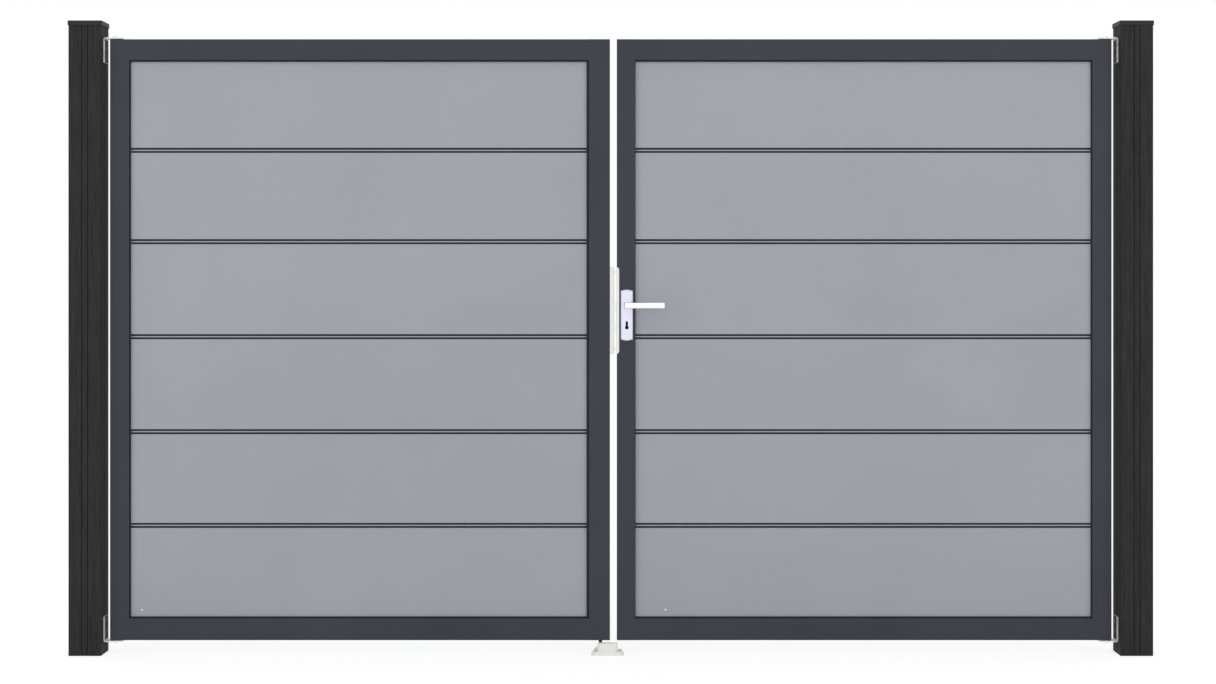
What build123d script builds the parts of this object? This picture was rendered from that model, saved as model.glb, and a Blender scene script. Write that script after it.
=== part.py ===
"""Double swing gate: two leaves with six boards each, hung on pivot brackets between two square posts.

Millimetres. +X runs along the gate, +Y to the inside, +Z up. The origin is the middle of the left post's foot.
"""
from build123d import *
import os

os.makedirs("parts", exist_ok=True)

# Gateway
CLEAR_WIDTH = 3040.0  # between the posts
HINGE_GAP = 20.0  # between a post and its leaf
MEETING_GAP = 20.5  # between the leaves
GROUND_GAP = 42.0
LEFT_LEAF_WIDTH = 1497.5
LEAF_HEIGHT = 1800.0

# Posts
POST_SIDE = 97.5
POST_RISE = 39.5  # above the leaves
POST_CORNER = 3.0
POST_GROOVE_OFFSET = 8.7  # from the middle of a face
POST_GROOVE_WIDTH = 3.0
POST_GROOVE_DEPTH = 2.5
CAP_OVERHANG = 2.5
CAP_RIM = 13.0
CAP_RISE = 3.0
CAP_MARGIN = 6.0  # flat border round the hipped middle

# Leaf frames
FRAME_DEPTH = 40.0
FRAME_WALL = 2.0
FRAME_CORNER = 1.5
HINGE_STILE = 61.0
LEFT_MEETING_STILE = 70.0
RIGHT_MEETING_STILE = 56.0
TOP_RAIL = 67.0
BOTTOM_RAIL = 70.0
REBATE_DEPTH = 7.0  # stepped-back border round the boards
RAIL_REBATE = 5.0
HINGE_REBATE = 3.5
LEFT_MEETING_REBATE = 7.0
RIGHT_MEETING_REBATE = 1.5
CHANNEL_DEPTH = 16.0  # slot for the boards
STILE_CAP = 3.0  # closes the ends of a meeting stile

# Boards
BOARD_THICKNESS = 20.0
JOINT_SHARES = (0.1638, 0.3329, 0.5043, 0.6757, 0.8405)  # joint middles between bottom rail and top rail
JOINT_HEIGHT = 15.0  # two grooves and the strip between them
STRIP_HEIGHT = 3.5
STRIP_DEPTH = 13.0
NECK_DEPTH = 8.0
TONGUE_DEPTH = 8.0
TONGUE_REACH = 11.0
BOARD_EDGE = 1.0
BOARD_WALL = 1.6
BOARD_WEBS = 2
BOARD_SEAT = 10.0  # how far a board runs into the frame's slot

# Hinges
PIVOT_INSET = 14.0  # from the leaf's hinge edge
PIN_DIAMETER = 12.0
PIN_LENGTH = 30.0  # inside the leaf
PIN_HEAD = 16.0
PIN_HEAD_HEIGHT = 4.0
BRACKET_WIDTH = 40.0
BRACKET_LEG = 4.5  # thickness against the post
BRACKET_PLATE = 4.0
BRACKET_DROP = 76.0
BRACKET_REACH = 37.0  # past the leaf's hinge edge
BRACKET_BEND = 6.0
BUSH_PAD = 1.6
BUSH_PAD_SIDE = 26.0
BLOCK_HEIGHT = 34.0

# Lock set
LOCK_HEIGHT = 261.0
LOCK_BELOW = 146.0  # from the lever's axis down to the foot of keep and forend
KEEP_THICKNESS = 12.5
KEEP_DEPTH = 38.0
KEEP_EDGE = 1.2
FOREND_PLATE = 2.5
FOREND_LIP = 7.0
FOREND_CHAMFER = 6.0
FOREND_BACK = 14.0  # from the leaf's mid-plane to the forend's back edge
LATCH_HEIGHT = 32.0
LATCH_DEPTH = 12.0
LATCH_BELOW = 4.0  # from the lever's axis down to the latch's middle
BOLT_HEIGHT = 34.0
BOLT_BELOW = 66.0
POCKET_DEPTH = 9.0
BACKSET = 30.0  # from the right leaf's meeting edge to the lever
LEVER_HEIGHT = 1045.0
PLATE_WIDTH = 36.0
PLATE_HEIGHT = 153.0
PLATE_THICKNESS = 7.0
PLATE_ARCH = 4.0
PLATE_BEVEL = 2.5
PLATE_BELOW = 106.0  # from the lever's axis down to the plate's end
KEYHOLE_BELOW = 66.5  # from the lever's axis to the keyhole's round end
KEYHOLE_ROUND = 11.0
KEYHOLE_SLOT = 7.0
KEYHOLE_RISE = 19.5
LEVER_REACH = 112.0
LEVER_HEEL = 9.0
LEVER_DEPTH = 18.0  # height of the grip
LEVER_THICKNESS = 12.0
LEVER_STANDOFF = 38.0  # from the plate to the grip
LEVER_BEND = 9.0
LEVER_ROUND = 4.5
BOSS_DIAMETER = 18.0
SPINDLE_SIDE = 8.0
CURTAIN = 4.0  # wall between the front and the back keyhole inside the lock case

# Drop bolt and floor stop
ROD_DIAMETER = 12.0
ROD_INSET = 29.0  # from the left leaf's meeting edge
ROD_STANDOFF = 11.0  # from the frame's back to the rod's axis
ROD_LENGTH = 400.0
ROD_TIP = 8.0
ROD_TIP_HEIGHT = 24.0  # above the ground
ROD_HANDLE = 62.0
ROD_BEND = 16.0
GUIDE_WIDTH = 44.0
GUIDE_HEIGHT = 26.0
GUIDE_FOOT = 4.0
GUIDE_HEIGHTS = (74.0, 250.0)  # above the leaf's underside
STOP_WIDTH = 98.0
STOP_FRONT = 50.0  # from the leaves' mid-plane
STOP_BACK = 6.0
STOP_LEFT = 27.0  # from the rod's axis to the base's left end
BASE_HEIGHT = 12.0
BASE_BEVEL = 8.0
STOP_CORNER = 6.0  # bevel of the upright front corners
BLOCK_FRONT = 40.0
BLOCK_BACK = 23.0  # in front of the leaves
BLOCK_LEFT = 9.0
BLOCK_WIDTH = 61.0
BLOCK_RISE = 36.0  # above the ground
SHOULDER = 4.0
SHOULDER_DROP = 4.0
SOCKET_WALL = 7.0
SOCKET_DIAMETER = 16.0

# Clearances
PIN_PLAY = 0.08
BOARD_PLAY = 0.4
ROD_PLAY = 0.4
HOLE_PLAY = 1.0
SEAT_PLAY = 0.2

# Derived positions
GATE_WIDTH = CLEAR_WIDTH + POST_SIDE  # between post middles
LEFT_EDGE = POST_SIDE / 2 + HINGE_GAP
LEFT_MEETING = LEFT_EDGE + LEFT_LEAF_WIDTH
RIGHT_MEETING = LEFT_MEETING + MEETING_GAP
RIGHT_EDGE = GATE_WIDTH - LEFT_EDGE
LEAF_TOP = GROUND_GAP + LEAF_HEIGHT
POST_HEIGHT = LEAF_TOP + POST_RISE
HALF_DEPTH = FRAME_DEPTH / 2
CHANNEL_WIDTH = BOARD_THICKNESS + 2 * BOARD_PLAY
LEVER_X = RIGHT_MEETING + BACKSET
LOCK_BASE = LEVER_HEIGHT - LOCK_BELOW
ROD_X = LEFT_MEETING - ROD_INSET
ROD_Y = HALF_DEPTH + ROD_STANDOFF


def save(shape, name):
    export_step(shape, f"parts/{name}.step")


def upright(profile, height, base=0.0):
    """Extrude a profile drawn in X and Y upwards from the given height."""
    return Pos(0, 0, base) * extrude(profile, height)


def along(profile, length):
    """Extrude a profile drawn in Y and Z along +X from X = 0."""
    return extrude(Plane.YZ * profile, length)


def through(profile, near, far):
    """Extrude a profile drawn in X and Z along Y from near to far."""
    return extrude(Plane.XZ.offset(-near) * profile, near - far)


def rod(diameter, height, base=0.0):
    """Upright round bar that stands on the given height."""
    return upright(Circle(diameter / 2), height, base)


def post_profile():
    half = POST_SIDE / 2
    face = RectangleRounded(POST_SIDE, POST_SIDE, POST_CORNER)
    for quarter in range(4):
        for side in (-1, 1):
            groove = Rectangle(POST_GROOVE_WIDTH, 2 * POST_GROOVE_DEPTH)
            face -= Rot(0, 0, 90 * quarter) * Pos(side * POST_GROOVE_OFFSET, half) * groove
    return face


def post_cap():
    side = POST_SIDE + 2 * CAP_OVERHANG
    rim = upright(RectangleRounded(side, side, POST_CORNER + CAP_OVERHANG), CAP_RIM, POST_HEIGHT)
    run = side / 2 - CAP_MARGIN
    gable = make_face(Polyline((-run, 0), (run, 0), (0, CAP_RISE), close=True))
    ridge = through(gable, -run, run)
    hip = ridge & (Rot(0, 0, 90) * ridge)
    return rim + Pos(0, 0, POST_HEIGHT + CAP_RIM) * hip


def frame_profile(face_width):
    """Hollow section with a board slot: X from the outer edge to the boards, Y through the depth."""
    face = Pos(face_width / 2, 0) * Rectangle(face_width, FRAME_DEPTH)
    face = fillet(face.vertices().group_by(Axis.X)[0], FRAME_CORNER)
    slot_at = face_width - CHANNEL_DEPTH / 2
    face -= Pos(slot_at, 0) * Rectangle(CHANNEL_DEPTH, CHANNEL_WIDTH)
    chamber = face_width - CHANNEL_DEPTH - 2 * FRAME_WALL
    face -= Pos(FRAME_WALL + chamber / 2, 0) * Rectangle(chamber, FRAME_DEPTH - 2 * FRAME_WALL)
    return face


def rebate_profile(face_width, rebate):
    """The two bands that are cut away beside the boards, at the front and at the back."""
    band = Rectangle(rebate, 2 * REBATE_DEPTH)
    at = face_width - rebate / 2
    return Pos(at, HALF_DEPTH) * band + Pos(at, -HALF_DEPTH) * band


def stile(face_width, rebate):
    """Stile of full leaf height, its outer edge at X = 0 and its slot towards +X."""
    bar = upright(frame_profile(face_width), LEAF_HEIGHT - 2 * STILE_CAP, GROUND_GAP + STILE_CAP)
    foot = GROUND_GAP + BOTTOM_RAIL - RAIL_REBATE
    head = LEAF_TOP - TOP_RAIL + RAIL_REBATE
    return bar - upright(rebate_profile(face_width, rebate), head - foot, foot)


def stile_cap(face_width, base):
    return upright(Pos(face_width / 2, 0) * Rectangle(face_width, FRAME_DEPTH), STILE_CAP, base)


def rail(face_width, length, start):
    """Rail with its outer edge at Z = 0 and its slot upwards, running along +X."""
    profile = Rot(0, 0, 90) * (frame_profile(face_width) - rebate_profile(face_width, RAIL_REBATE))
    return Pos(start, 0, 0) * along(profile, length)


def board_profile(height, slotted, tongued):
    """Hollow board section: Y through the thickness, Z up from the board's foot."""
    body = Rectangle(BOARD_THICKNESS, height)
    body = Pos(0, height / 2) * chamfer(body.vertices(), BOARD_EDGE)
    foot = BOARD_WALL
    if slotted:
        depth = TONGUE_REACH + BOARD_PLAY
        body -= Pos(0, depth / 2) * Rectangle(TONGUE_DEPTH + 2 * BOARD_PLAY, depth)
        foot = depth + BOARD_WALL
    inner = BOARD_THICKNESS - 2 * BOARD_WALL
    cell = (height - BOARD_WALL - foot - BOARD_WEBS * BOARD_WALL) / (BOARD_WEBS + 1)
    for k in range(BOARD_WEBS + 1):
        body -= Pos(0, foot + cell / 2 + k * (cell + BOARD_WALL)) * Rectangle(inner, cell)
    if tongued:
        groove = (JOINT_HEIGHT - STRIP_HEIGHT) / 2
        neck = JOINT_HEIGHT + TONGUE_REACH
        body += Pos(0, height + neck / 2) * Rectangle(NECK_DEPTH, neck)
        body += Pos(0, height + groove + STRIP_HEIGHT / 2) * Rectangle(STRIP_DEPTH, STRIP_HEIGHT)
    return body


def board_levels():
    """Foot and face height of each board, from the bottom rail to the top rail."""
    floor = GROUND_GAP + BOTTOM_RAIL
    ceiling = LEAF_TOP - TOP_RAIL
    joints = [floor + share * (ceiling - floor) for share in JOINT_SHARES]
    feet = [floor - BOARD_SEAT] + [joint + JOINT_HEIGHT / 2 for joint in joints]
    tops = [joint - JOINT_HEIGHT / 2 for joint in joints] + [ceiling + BOARD_SEAT]
    return list(zip(feet, tops))


def hinge_bracket():
    """Upper bracket of the left post, angle plate and pin: pin's axis on Z, Z = 0 at the leaf's top."""
    wall = -PIVOT_INSET - HINGE_GAP
    tip = BRACKET_REACH - PIVOT_INSET
    lift = BUSH_PAD + SEAT_PLAY
    top = lift + BRACKET_PLATE
    outline = Polyline(
        (wall, top),
        (tip, top),
        (tip, lift),
        (wall + BRACKET_LEG, lift),
        (wall + BRACKET_LEG, top - BRACKET_DROP),
        (wall, top - BRACKET_DROP),
        close=True,
    )
    side = make_face(outline)
    bend = side.vertices().sort_by_distance((wall, top))[0]
    side = fillet(bend, BRACKET_BEND)
    plate = through(side, -BRACKET_WIDTH / 2, BRACKET_WIDTH / 2)
    corners = plate.edges().filter_by(Axis.Z).group_by(Axis.X)[-1]
    plate = chamfer(corners, BRACKET_WIDTH / 5)
    pin = rod(PIN_DIAMETER, PIN_LENGTH + top, -PIN_LENGTH)
    head = upright(RegularPolygon(PIN_HEAD / 2, 6), PIN_HEAD_HEIGHT, top)
    return plate + pin + head


def hinge_block():
    """Bearing block inside the top of the left hinge stile, with a square pad above the leaf."""
    chamber = HINGE_STILE - CHANNEL_DEPTH - 2 * FRAME_WALL - 2 * SEAT_PLAY
    depth = FRAME_DEPTH - 2 * FRAME_WALL - 2 * SEAT_PLAY
    middle = FRAME_WALL + SEAT_PLAY + chamber / 2 - PIVOT_INSET
    block = upright(Pos(middle, 0) * Rectangle(chamber, depth), BLOCK_HEIGHT, -BLOCK_HEIGHT)
    cover = Pos(HINGE_STILE / 2 - PIVOT_INSET, 0) * Rectangle(HINGE_STILE, FRAME_DEPTH)
    block += upright(cover, STILE_CAP, -STILE_CAP)
    block += upright(Rectangle(BUSH_PAD_SIDE, BUSH_PAD_SIDE), BUSH_PAD)
    return block - rod(PIN_DIAMETER + 2 * PIN_PLAY, BLOCK_HEIGHT + BUSH_PAD, -BLOCK_HEIGHT)


def at_hinge(shape, hand, end):
    """Set a piece made for the left leaf's upper pivot at any of the four pivots."""
    if end == "lower":
        shape = mirror(shape, Plane.XY)
    if hand == "right":
        shape = mirror(shape, Plane.YZ)
    x = LEFT_EDGE + PIVOT_INSET if hand == "left" else RIGHT_EDGE - PIVOT_INSET
    return Pos(x, 0, LEAF_TOP if end == "upper" else GROUND_GAP) * shape


def make_leaf(hand, meeting_stile, width, rebate):
    """Frame and boards of a leaf, drawn from its hinge edge at X = 0 and turned about for the right hand."""
    set_down = Pos(LEFT_EDGE, 0, 0) if hand == "left" else Pos(RIGHT_EDGE, 0, 0) * Rot(0, 0, 180)
    meeting = Pos(width, 0, 0) * Rot(0, 0, 180)
    rail_length = width - HINGE_STILE - meeting_stile
    bottom = Pos(0, 0, GROUND_GAP) * rail(BOTTOM_RAIL, rail_length, HINGE_STILE)
    top = Pos(0, 0, LEAF_TOP) * mirror(rail(TOP_RAIL, rail_length, HINGE_STILE), Plane.XY)
    meeting_piece = meeting * stile(meeting_stile, rebate)
    caps = [meeting * stile_cap(meeting_stile, base) for base in (GROUND_GAP, LEAF_TOP - STILE_CAP)]
    start = HINGE_STILE - BOARD_SEAT
    end = width - meeting_stile + BOARD_SEAT
    levels = board_levels()
    boards = []
    for k, (foot, head) in enumerate(levels):
        profile = board_profile(head - foot, k > 0, k < len(levels) - 1)
        boards.append(Pos(start, 0, foot) * along(profile, end - start))
    return {
        "hinge_stile": set_down * stile(HINGE_STILE, HINGE_REBATE),
        "meeting_stile": set_down * meeting_piece,
        "top_rail": set_down * top,
        "bottom_rail": set_down * bottom,
        "meeting_stile_caps": set_down * Compound(caps),
        "boards": [set_down * board for board in boards],
    }


def lock_plate():
    """Front lock plate about the lever's axis, with its back on Y = 0 and its face towards -Y."""
    half = PLATE_WIDTH / 2
    foot = -PLATE_BELOW
    head = PLATE_HEIGHT - PLATE_BELOW
    edge = Line((half, foot + PLATE_ARCH), (half, head - PLATE_ARCH))
    edge += ThreePointArc((half, head - PLATE_ARCH), (0, head), (-half, head - PLATE_ARCH))
    edge += Line((-half, head - PLATE_ARCH), (-half, foot + PLATE_ARCH))
    edge += ThreePointArc((-half, foot + PLATE_ARCH), (0, foot), (half, foot + PLATE_ARCH))
    plate = through(make_face(edge), 0, -PLATE_THICKNESS)
    plate = chamfer(plate.faces().sort_by(Axis.Y)[0].edges(), PLATE_BEVEL)
    plate -= through(Circle(BOSS_DIAMETER / 2 + PIN_PLAY), 0, -PLATE_THICKNESS)
    return plate - through(keyhole(0), 0, -PLATE_THICKNESS)


def keyhole(play):
    """Keyhole outline about the lever's axis: a round foot and a narrow upright slot."""
    rise = KEYHOLE_RISE + play - (KEYHOLE_SLOT + 2 * play) / 2
    outline = Pos(0, -KEYHOLE_BELOW) * Circle(KEYHOLE_ROUND / 2 + play)
    outline += Pos(0, -KEYHOLE_BELOW + rise / 2) * Rectangle(KEYHOLE_SLOT + 2 * play, rise)
    outline += Pos(0, -KEYHOLE_BELOW + rise) * Circle(KEYHOLE_SLOT / 2 + play)
    return outline


def lever():
    """Front lever about its axis: round boss, neck and bent grip, with the lock plate's back on Y = 0."""
    near = -PLATE_THICKNESS - LEVER_STANDOFF
    far = near - LEVER_THICKNESS
    outline = Polyline(
        (-LEVER_HEEL, -PLATE_THICKNESS),
        (LEVER_HEEL, -PLATE_THICKNESS),
        (LEVER_HEEL, near),
        (LEVER_REACH, near),
        (LEVER_REACH, far),
        (-LEVER_HEEL, far),
        close=True,
    )
    plan = make_face(outline)
    inner = plan.vertices().sort_by_distance((LEVER_HEEL, near))[0]
    plan = chamfer(inner, LEVER_BEND / 2)
    outer = plan.vertices().sort_by_distance((-LEVER_HEEL, far))[0]
    plan = fillet(outer, LEVER_BEND)
    bar = upright(plan, LEVER_DEPTH, -LEVER_DEPTH / 2)
    rims = bar.faces().sort_by(Axis.Z)[0].edges() + bar.faces().sort_by(Axis.Z)[-1].edges()
    rims = [edge for edge in rims if edge.center().Y < -PLATE_THICKNESS - SEAT_PLAY]
    bar = fillet(rims, LEVER_ROUND)
    boss = through(Circle(BOSS_DIAMETER / 2), 0, -PLATE_THICKNESS)
    socket = Pos(0, -PLATE_THICKNESS / 2, 0) * Box(SPINDLE_SIDE, 3 * PLATE_THICKNESS, SPINDLE_SIDE)
    return bar + boss - socket


def both_sides(shape):
    """Set a piece of the lock set, made for the front, on the front and on the back of the right leaf."""
    front = Pos(LEVER_X, -HALF_DEPTH, LEVER_HEIGHT) * shape
    return front, mirror(front, Plane.XZ)


def forend():
    """Angle strip on the right leaf's meeting edge: plate in the gap and a lip over the front of the stile."""
    outline = Polyline(
        (-FOREND_PLATE, -HALF_DEPTH - FOREND_PLATE),
        (FOREND_LIP, -HALF_DEPTH - FOREND_PLATE),
        (FOREND_LIP, -HALF_DEPTH),
        (0, -HALF_DEPTH),
        (0, FOREND_BACK),
        (-FOREND_PLATE, FOREND_BACK),
        close=True,
    )
    angle = upright(make_face(outline), LOCK_HEIGHT, LOCK_BASE)
    corners = angle.edges().filter_by(Axis.Y).group_by(Axis.X)[-1]
    angle = chamfer(corners, FOREND_CHAMFER)
    for height, middle in lock_bolts():
        hole = Box(4 * FOREND_PLATE, LATCH_DEPTH + 2 * SEAT_PLAY, height + 2 * SEAT_PLAY)
        angle -= Pos(0, 0, middle) * hole
    return Pos(RIGHT_MEETING, 0, 0) * angle


def lock_bolts():
    """Height and middle of the latch and of the dead bolt."""
    return ((LATCH_HEIGHT, LEVER_HEIGHT - LATCH_BELOW), (BOLT_HEIGHT, LEVER_HEIGHT - BOLT_BELOW))


def lock_case():
    """Case inside the right meeting stile, with the drawn-back latch and dead bolt flush in the forend."""
    width = RIGHT_MEETING_STILE - CHANNEL_DEPTH - FRAME_WALL - SEAT_PLAY
    height = PLATE_HEIGHT
    middle = LEVER_HEIGHT - PLATE_BELOW + PLATE_HEIGHT / 2
    case = Pos(width / 2, 0, middle) * Box(width, LATCH_DEPTH + 2 * FRAME_WALL, height)
    for tall, level in lock_bolts():
        case += Pos(-FOREND_PLATE / 2, 0, level) * Box(FOREND_PLATE, LATCH_DEPTH, tall)
    case = Pos(RIGHT_MEETING, 0, 0) * case
    opening = through(Circle(SPINDLE_SIDE * 0.75 + HOLE_PLAY), -HALF_DEPTH, HALF_DEPTH)
    opening += through(keyhole(HOLE_PLAY), -HALF_DEPTH, -CURTAIN / 2)
    opening += through(keyhole(HOLE_PLAY), CURTAIN / 2, HALF_DEPTH)
    return case - Pos(LEVER_X, 0, LEVER_HEIGHT) * opening


def cut_for_lock(piece):
    """Openings of the right meeting stile: slot for the case and milled slot behind the lock plates."""
    middle = LEVER_HEIGHT - PLATE_BELOW + PLATE_HEIGHT / 2
    depth = LATCH_DEPTH + 2 * FRAME_WALL + 2 * SEAT_PLAY
    slot = Box(2 * FRAME_WALL, depth, PLATE_HEIGHT + 2 * SEAT_PLAY)
    piece -= Pos(RIGHT_MEETING, 0, middle) * slot
    width = KEYHOLE_ROUND + 2 * HOLE_PLAY
    foot = -KEYHOLE_BELOW - width / 2
    milled = Pos(0, (foot + width / 2) / 2) * Rectangle(width, width / 2 - foot)
    return piece - Pos(LEVER_X, 0, LEVER_HEIGHT) * through(milled, -HALF_DEPTH, HALF_DEPTH)


def keep():
    """Block on the left leaf's meeting edge with pockets for the latch and the dead bolt."""
    body = Pos(KEEP_THICKNESS / 2, 0) * Rectangle(KEEP_THICKNESS, KEEP_DEPTH)
    block = upright(body, LOCK_HEIGHT, LOCK_BASE)
    outer = block.faces().sort_by(Axis.X)[-1].edges()
    block = chamfer(outer, KEEP_EDGE)
    for tall, middle in lock_bolts():
        pocket = Box(2 * POCKET_DEPTH, LATCH_DEPTH + 2 * HOLE_PLAY, tall + 2 * HOLE_PLAY)
        block -= Pos(KEEP_THICKNESS, 0, middle) * pocket
    return Pos(LEFT_MEETING, 0, 0) * block


def drop_bolt():
    """Rod with a tapered foot and a handle bent towards the hinge side."""
    top = ROD_TIP_HEIGHT + ROD_LENGTH
    path = FilletPolyline((0, 0, ROD_TIP_HEIGHT + ROD_TIP), (0, 0, top), (-ROD_HANDLE, 0, top), radius=ROD_BEND)
    bar = sweep(Pos(0, 0, ROD_TIP_HEIGHT + ROD_TIP) * Circle(ROD_DIAMETER / 2), path)
    tip = Pos(0, 0, ROD_TIP_HEIGHT + ROD_TIP / 2) * Cone(ROD_DIAMETER / 4, ROD_DIAMETER / 2, ROD_TIP)
    return Pos(ROD_X, ROD_Y, 0) * (bar + tip)


def rod_guide(base):
    """Saddle on the back of the left meeting stile that the rod runs through."""
    hump = ROD_DIAMETER + 2 * GUIDE_FOOT
    profile = Pos(0, HALF_DEPTH + GUIDE_FOOT / 2) * Rectangle(GUIDE_WIDTH, GUIDE_FOOT)
    neck = ROD_Y - HALF_DEPTH
    profile += Pos(0, HALF_DEPTH + neck / 2) * Rectangle(hump, neck)
    profile += Pos(0, ROD_Y) * Circle(hump / 2)
    profile -= Pos(0, ROD_Y) * Circle(ROD_DIAMETER / 2 + ROD_PLAY)
    return Pos(ROD_X, 0, 0) * upright(profile, GUIDE_HEIGHT, base)


def bevel_front(block):
    """Bevel the left and right edges of a block's front face."""
    front = block.faces().sort_by(Axis.Y)[0].edges().sort_by(Axis.X)
    return chamfer([front[0], front[-1]], STOP_CORNER)


def floor_stop():
    """Base plate with bevelled ends, raised block in front and the rod's socket behind it."""
    left = -STOP_LEFT
    right = STOP_WIDTH - STOP_LEFT
    side = Polyline(
        (left, 0),
        (right, 0),
        (right - BASE_BEVEL, BASE_HEIGHT),
        (left + BASE_BEVEL, BASE_HEIGHT),
        close=True,
    )
    stop = bevel_front(through(make_face(side), -STOP_FRONT, STOP_BACK))
    block_right = BLOCK_WIDTH - BLOCK_LEFT
    block = Polyline(
        (-BLOCK_LEFT, 0),
        (block_right, 0),
        (block_right, BLOCK_RISE),
        (SHOULDER - BLOCK_LEFT, BLOCK_RISE),
        (-BLOCK_LEFT, BLOCK_RISE - SHOULDER_DROP),
        close=True,
    )
    stop += bevel_front(through(make_face(block), -BLOCK_FRONT, -BLOCK_BACK))
    lug = SOCKET_DIAMETER + 2 * SOCKET_WALL
    stop += upright(Pos(0, ROD_Y / 2) * Rectangle(lug, ROD_Y), BASE_HEIGHT)
    stop += Pos(0, ROD_Y) * rod(lug, BASE_HEIGHT)
    stop -= Pos(0, ROD_Y) * rod(SOCKET_DIAMETER, BASE_HEIGHT)
    return Pos(ROD_X, 0, 0) * stop


for hand, x in (("left", 0.0), ("right", GATE_WIDTH)):
    save(Pos(x, 0, 0) * upright(post_profile(), POST_HEIGHT), f"{hand}_post")
    save(Pos(x, 0, 0) * post_cap(), f"{hand}_post_cap")
    for end in ("upper", "lower"):
        save(at_hinge(hinge_bracket(), hand, end), f"{hand}_{end}_hinge_bracket")
        save(at_hinge(hinge_block(), hand, end), f"{hand}_{end}_hinge_block")

left_leaf = make_leaf("left", LEFT_MEETING_STILE, LEFT_LEAF_WIDTH, LEFT_MEETING_REBATE)
right_leaf = make_leaf("right", RIGHT_MEETING_STILE, RIGHT_EDGE - RIGHT_MEETING, RIGHT_MEETING_REBATE)
right_leaf["meeting_stile"] = cut_for_lock(right_leaf["meeting_stile"])
for hand, pieces in (("left", left_leaf), ("right", right_leaf)):
    for k, board in enumerate(pieces.pop("boards")):
        save(board, f"{hand}_board_{k + 1}")
    for name, piece in pieces.items():
        save(piece, f"{hand}_{name}")

save(keep(), "lock_keep")
save(forend(), "lock_forend")
save(lock_case(), "lock_case")
front_plate, back_plate = both_sides(lock_plate())
save(front_plate, "front_lock_plate")
save(back_plate, "back_lock_plate")
front_lever, back_lever = both_sides(lever())
save(front_lever, "front_lever")
save(back_lever, "back_lever")
spindle_length = FRAME_DEPTH + 2 * PLATE_THICKNESS
save(Pos(LEVER_X, 0, LEVER_HEIGHT) * Box(SPINDLE_SIDE, spindle_length, SPINDLE_SIDE), "lever_spindle")
save(drop_bolt(), "drop_bolt")
save(Compound([rod_guide(GROUND_GAP + base) for base in GUIDE_HEIGHTS]), "drop_bolt_guides")
save(floor_stop(), "floor_stop")
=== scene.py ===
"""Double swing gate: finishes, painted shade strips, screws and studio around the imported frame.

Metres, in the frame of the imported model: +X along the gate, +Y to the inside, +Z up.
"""

from math import atan2, cos, pi

import bmesh
import bpy
from bpy.props import FloatProperty, FloatVectorProperty, PointerProperty
from mathutils import Matrix, Vector


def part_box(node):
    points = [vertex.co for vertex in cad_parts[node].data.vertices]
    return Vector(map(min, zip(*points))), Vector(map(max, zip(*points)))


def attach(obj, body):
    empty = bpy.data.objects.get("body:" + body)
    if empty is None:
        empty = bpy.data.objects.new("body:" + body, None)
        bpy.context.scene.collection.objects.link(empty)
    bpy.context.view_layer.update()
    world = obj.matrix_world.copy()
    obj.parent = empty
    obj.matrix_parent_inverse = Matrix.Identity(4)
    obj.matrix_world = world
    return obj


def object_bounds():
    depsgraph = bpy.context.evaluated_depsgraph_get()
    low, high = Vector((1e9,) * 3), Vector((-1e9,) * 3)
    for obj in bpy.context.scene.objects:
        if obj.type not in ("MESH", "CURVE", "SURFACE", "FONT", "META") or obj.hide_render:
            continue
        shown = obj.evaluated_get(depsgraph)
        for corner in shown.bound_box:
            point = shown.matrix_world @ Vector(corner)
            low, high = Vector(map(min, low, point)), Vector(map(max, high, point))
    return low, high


bl_info = {
    "name": "Double Swing Gate",
    "version": (1, 0, 0),
    "blender": (4, 5, 0),
    "location": "View3D > Sidebar > Gate",
    "description": "Finishes a double swing gate: coats, seals, screws and studio",
    "category": "Object",
}

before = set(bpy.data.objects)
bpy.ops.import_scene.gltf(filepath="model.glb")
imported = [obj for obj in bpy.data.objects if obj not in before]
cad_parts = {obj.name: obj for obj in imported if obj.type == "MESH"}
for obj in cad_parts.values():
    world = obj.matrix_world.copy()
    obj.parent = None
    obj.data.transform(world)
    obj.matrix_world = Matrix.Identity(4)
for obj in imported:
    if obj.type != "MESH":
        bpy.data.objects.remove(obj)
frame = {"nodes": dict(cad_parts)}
CAD_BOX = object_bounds()
MM = 0.001
HANDS = ("left", "right")
SIDES = {"front": -1, "back": 1}


def linear(hex_colour):
    """Turn an sRGB hex colour into linear red, green and blue."""
    channels = [int(hex_colour[k:k + 2], 16) / 255 for k in (1, 3, 5)]
    return tuple(c / 12.92 if c <= 0.04045 else ((c + 0.055) / 1.055) ** 2.4 for c in channels)


def shade(colour, factor):
    """A colour made darker or lighter, with the alpha that a socket needs."""
    return (*(c * factor for c in colour), 1.0)


# Settings

def colour_setting(name, description, hex_colour):
    """A colour that a user may change."""
    return FloatVectorProperty(
        name=name,
        description=description,
        default=linear(hex_colour),
        subtype="COLOR",
        size=3,
        min=0.0,
        max=1.0,
    )


def length_setting(name, description, millimetres):
    """A length that a user may change, given in millimetres."""
    return FloatProperty(
        name=name,
        description=description,
        default=millimetres * MM,
        unit="LENGTH",
        precision=4,
    )


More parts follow.
